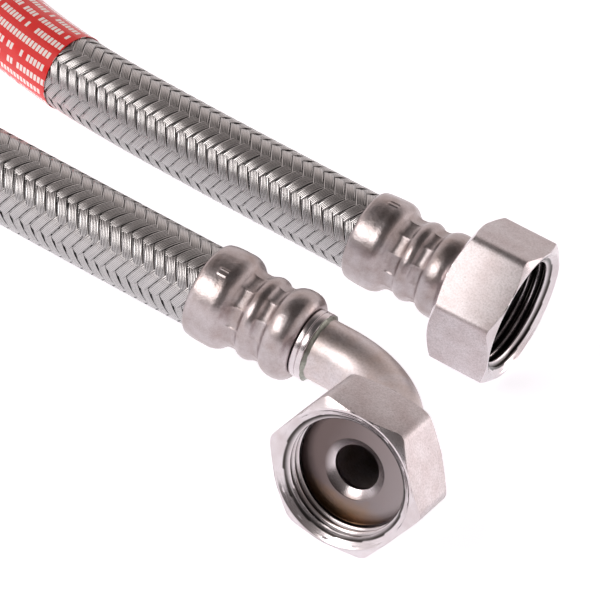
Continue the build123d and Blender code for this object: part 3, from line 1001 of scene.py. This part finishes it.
def elbow_line(steps=40):
    """Points and directions of the bent tube's centre line, from its collar to its seat."""
    corner = Vector((ELBOW_AXIS_X, ELBOW_LEG_Y, ELBOW_Z))
    centre = corner + Vector((-BEND_R, -BEND_R, 0))
    start = Vector((COLLAR_FACE_X, ELBOW_LEG_Y, ELBOW_Z))
    line = [(start.lerp(corner + Vector((-BEND_R, 0, 0)), k / 8), ALONG_X) for k in range(8)]
    for k in range(steps + 1):
        a = pi / 2 * (1 - k / steps)
        line.append((centre + BEND_R * Vector((cos(a), sin(a), 0)), Vector((sin(a), -cos(a), 0))))
    end = Vector((ELBOW_AXIS_X, SEAT_BOX[1].y, ELBOW_Z))
    line += [(line[-1][0].lerp(end, k / 10), -ALONG_Y) for k in range(1, 11)]
    return line


def elbow_tube_piece(material):
    """Bent tube, a little flattened on the outside of its bend."""
    columns, flattening, points = 96, 0.02, []
    line = elbow_line()
    for radius, order in ((TUBE_R, line), (BORE_R, line[::-1])):
        for place, tangent in order:
            side = tangent.cross(UP)
            bent = sin(2 * max(0.0, min(pi / 2, abs(tangent.angle(ALONG_X)))))
            for k in range(columns):
                a = 2 * pi * k / columns
                flat = 1 - flattening * bent * max(0, -cos(a)) ** 2
                points.append(place + radius * flat * (cos(a) * side + sin(a) * UP))
    faces = ring_faces(2 * len(line), columns, True)
    piece = mesh_piece("bent_elbow_tube", points, faces, [material], angle=40)
    return finish_piece(piece, HOSE_BODY, "plated_tube", "elbow_tube")


def braze_piece(name, cad_name, face_x, facing, place, material, seed):
    """Lumpy brazed fillet round the tube against a face."""
    columns, rows, size, hollowness, most = 120, 8, 0.0008, 1.4, 1.12
    outside, inside = TUBE_R + 0.00001, TUBE_R - 0.0001
    rng = np.random.default_rng(seed)
    waves = [(int(n), rng.uniform(0, 2 * pi), rng.uniform(0.04, 0.12)) for n in (3, 5, 8, 13, 21)]
    angles = [2 * pi * k / columns for k in range(columns)]
    points = []
    for i in range(rows):
        t = i / (rows - 1)
        for a in angles:
            full = min(most, 0.95 + sum(h * sin(n * a + p) for n, p, h in waves))
            rise, run = size * full * (1 - t) ** hollowness, size * full * t ** hollowness
            points.append((face_x + facing * run, (outside + rise) * cos(a), (outside + rise) * sin(a)))
    points += [(face_x, inside * cos(a), inside * sin(a)) for a in angles]
    piece = mesh_piece(name, points, ring_faces(rows + 1, columns, True), [material], place, angle=60)
    return finish_piece(piece, HOSE_BODY, "braze", cad_name)


def elbow_tail_piece(material):
    """Barbed insert with a grooved collar."""
    barbs, pitch, depth, tail_r = 6, 0.0026, 0.00035, 0.00625
    collar_length, line = 0.0027, 0.00025
    low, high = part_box("elbow_hose_tail")
    collar_r, collar_x = (high.z - low.z) / 2, high.x - collar_length
    middle = collar_x + collar_length / 2
    outline = [(low.x, BORE_R), (low.x, tail_r - depth)]
    for barb in range(barbs):
        crest = low.x + (barb + 1) * pitch
        outline += [(crest, tail_r), (crest, tail_r - depth)]
    outline += [(collar_x, tail_r - depth), (collar_x, collar_r), (middle - line / 2, collar_r),
                (middle, collar_r - line), (middle + line / 2, collar_r), (high.x, collar_r),
                (high.x, BORE_R)]
    piece = lathe("elbow_hose_tail_turned", softened(outline, 0.0003), [material], ELBOW_LEG, angle=40)
    return finish_piece(piece, HOSE_BODY, "plated_brass", "elbow_hose_tail")


def seat_piece(material):
    """Sealing flange with a chamfered bore. Only its front face is drawn dark, with a painted shadow to one
    side.
    """
    mouth_r, bore_r, chamfer, skin = 0.0066, 0.0047, 0.0012, 0.00008
    front, back = ELBOW_FRONT_Y - SEAT_BOX[0].y, ELBOW_FRONT_Y - SEAT_BOX[1].y
    outer_r = (SEAT_BOX[1].x - SEAT_BOX[0].x) / 2
    outline = softened([(front, mouth_r), (front - chamfer, bore_r), (back, bore_r),
                        (back, outer_r), (front, outer_r)], 0.00012)
    # Mask of the front face, which gets the dark colour and its painted shadow.
    shadowed_face = [float(x > front - skin) for x, _ in outline for _ in range(LATHE_COLUMNS)]
    rings = [r for _, r in outline for _ in range(LATHE_COLUMNS)]
    piece = lathe("elbow_seat", outline, [material], ELBOW_NUT_PLACE,
                  attributes={"painted_shade_and_stain": shadowed_face, "turned": rings}, angle=25)
    return finish_piece(piece, HOSE_BODY, "plated_brass", "elbow_seat_flange")


class MakeElbow(bpy.types.Operator):
    """Make the bent tube, its collar, its seat and the seams between them"""

    bl_idname = "supply_line.make_elbow"
    bl_label = "Elbow"

    def execute(self, context):
        colours = context.scene.supply_line_colours
        elbow_tube_piece(plated_drawn_tube(colours))
        elbow_tail_piece(plated_turned(colours, "nickel_plated_turned_collar"))
        seat_piece(plated_turned(colours, "turned_seat", stained_and_shadowed=True))
        braze = brazed_seam(colours)
        braze_piece("collar_seam", "collar_braze_ring", COLLAR_FACE_X, 1, ELBOW_LEG, braze, 3)
        braze_piece("seat_seam", "seat_braze_ring", ELBOW_FRONT_Y - SEAT_BOX[1].y, -1, ELBOW_NUT_PLACE,
                    braze, 5)
        return {"FINISHED"}


class MakeStraightEnd(bpy.types.Operator):
    """Make the rubber gasket and finish the straight hose tail"""

    bl_idname = "supply_line.make_straight_end"
    bl_label = "Straight End"

    def execute(self, context):
        colours = context.scene.supply_line_colours
        low, high = GASKET_BOX
        outer_r, bore_r, edge_r = (high.z - low.z) / 2, 0.008, 0.00025
        outline = [(high.x, bore_r), (high.x, outer_r), (low.x, outer_r), (low.x, bore_r)]
        gasket = lathe("rubber_gasket", softened(outline, edge_r), [moulded_rubber(colours)],
                       STRAIGHT_LEG, angle=50)
        finish_piece(gasket, "gasket", "gasket_rubber", "straight_gasket")
        tail = frame["nodes"]["straight_hose_tail"]
        tail.data.materials.clear()
        tail.data.materials.append(plated_turned(colours, "nickel_plated_hose_tail"))
        return {"FINISHED"}


# --- the stage ---

CAMERA_PLACE = Vector((0.17081, -0.56652, 0.34039))
CAMERA_AZIMUTH, CAMERA_ELEVATION, CAMERA_ROLL = radians(21.15), radians(30.88), radians(16.74)
CAMERA_LENS = 192.44
FLOOR_REACH = 6.0
LIT_POINT = Vector((-0.03, -0.03, 0))


def soft_light(name, place, size, power, colour):
    """Elliptical soft box aimed at the object."""
    light = bpy.data.lights.new(name, "AREA")
    light.shape = "ELLIPSE"
    light.size, light.size_y = size
    light.energy = power
    light.color = linear(colour)[:3]
    lamp = placed(name, light)
    lamp.location = place
    lamp.rotation_euler = (LIT_POINT - Vector(place)).to_track_quat("-Z", "Y").to_euler()


def studio_world():
    """Pale room with a dim ceiling, and darker behind the camera."""
    world = bpy.data.worlds.new("studio")
    world.use_nodes = True
    bpy.context.scene.world = world
    tree = world.node_tree
    direction = node(tree, "ShaderNodeTexCoord").outputs["Generated"]
    height = node(tree, "ShaderNodeSeparateXYZ", {0: direction}).outputs["Z"]
    room = ramp(tree, height, [(0.0, (0.92, 0.87, 0.88, 1)), (0.55, (0.98, 0.88, 0.85, 1)),
                               (0.76, (0.4, 0.36, 0.35, 1)), (0.92, (0.08, 0.074, 0.072, 1))])
    front = node(tree, "ShaderNodeVectorMath", {0: direction, 1: (0.19, -0.92, 0.35)},
                 operation="DOT_PRODUCT").outputs["Value"]
    background = tree.nodes["Background"]
    tree.links.new(room, background.inputs["Color"])
    tree.links.new(mapped(tree, front, 0.55, 0.92, 1.0, 0.18), background.inputs["Strength"])


def make_floor(colours):
    low, high = -FLOOR_REACH, FLOOR_REACH
    mesh = bpy.data.meshes.new("floor")
    mesh.from_pydata([(low, low, FLOOR_Z), (high, low, FLOOR_Z), (high, high, FLOOR_Z),
                      (low, high, FLOOR_Z)], [], [(0, 1, 2, 3)])
    mesh.materials.append(painted_floor(colours))
    placed("floor", mesh)


def make_camera():
    camera = bpy.data.cameras.new("camera")
    camera.lens = CAMERA_LENS
    camera.clip_start, camera.clip_end = 0.01, 50
    flat = cos(CAMERA_ELEVATION)
    away = Vector((sin(CAMERA_AZIMUTH) * flat, -cos(CAMERA_AZIMUTH) * flat, sin(CAMERA_ELEVATION)))
    level = UP.cross(away).normalized()
    upright = away.cross(level)
    right = level * cos(CAMERA_ROLL) + upright * sin(CAMERA_ROLL)
    turn = Matrix((right, away.cross(right), away)).transposed().to_4x4()
    holder = placed("camera", camera)
    holder.matrix_world = Matrix.Translation(CAMERA_PLACE) @ turn
    bpy.context.scene.camera = holder


class MakeStage(bpy.types.Operator):
    """Make the floor, the lights and the camera"""

    bl_idname = "supply_line.make_stage"
    bl_label = "Stage"

    def execute(self, context):
        make_floor(context.scene.supply_line_colours)
        studio_world()
        soft_light("key_box", (-0.5, -0.74, 0.5), (0.7, 0.56), 4.2, "FFFCFA")
        soft_light("side_box", (0.7, 0.8, 0.16), (0.6, 0.3), 1.2, "FFF6F4")
        make_camera()
        context.scene.view_settings.view_transform = "Standard"
        return {"FINISHED"}


# --- the add-on ---

OPERATORS = (MakeHose, MakeFerrules, MakeNuts, MakeElbow, MakeStraightEnd, MakeStage)


class SupplyLinePanel(bpy.types.Panel):
    """Lists what makes each piece"""

    bl_idname = "VIEW3D_PT_supply_line"
    bl_label = "Supply Line"
    bl_space_type = "VIEW_3D"
    bl_region_type = "UI"
    bl_category = "Supply Line"

    def draw(self, context):
        for operator in OPERATORS:
            self.layout.operator(operator.bl_idname)
        for group in (context.scene.supply_line_sizes, context.scene.supply_line_colours):
            box = self.layout.box()
            for name in group.__annotations__:
                box.prop(group, name)


CLASSES = (SupplyLineSizes, SupplyLineColours, *OPERATORS, SupplyLinePanel)


def register():
    for cls in CLASSES:
        bpy.utils.register_class(cls)
    bpy.types.Scene.supply_line_sizes = PointerProperty(type=SupplyLineSizes)
    bpy.types.Scene.supply_line_colours = PointerProperty(type=SupplyLineColours)


def unregister():
    del bpy.types.Scene.supply_line_colours
    del bpy.types.Scene.supply_line_sizes
    for cls in reversed(CLASSES):
        bpy.utils.unregister_class(cls)


def main():
    register()
    for make in ("make_stage", "make_hose", "make_ferrules", "make_nuts", "make_elbow", "make_straight_end"):
        getattr(bpy.ops.supply_line, make)()


if __name__ == "__main__":
    main()
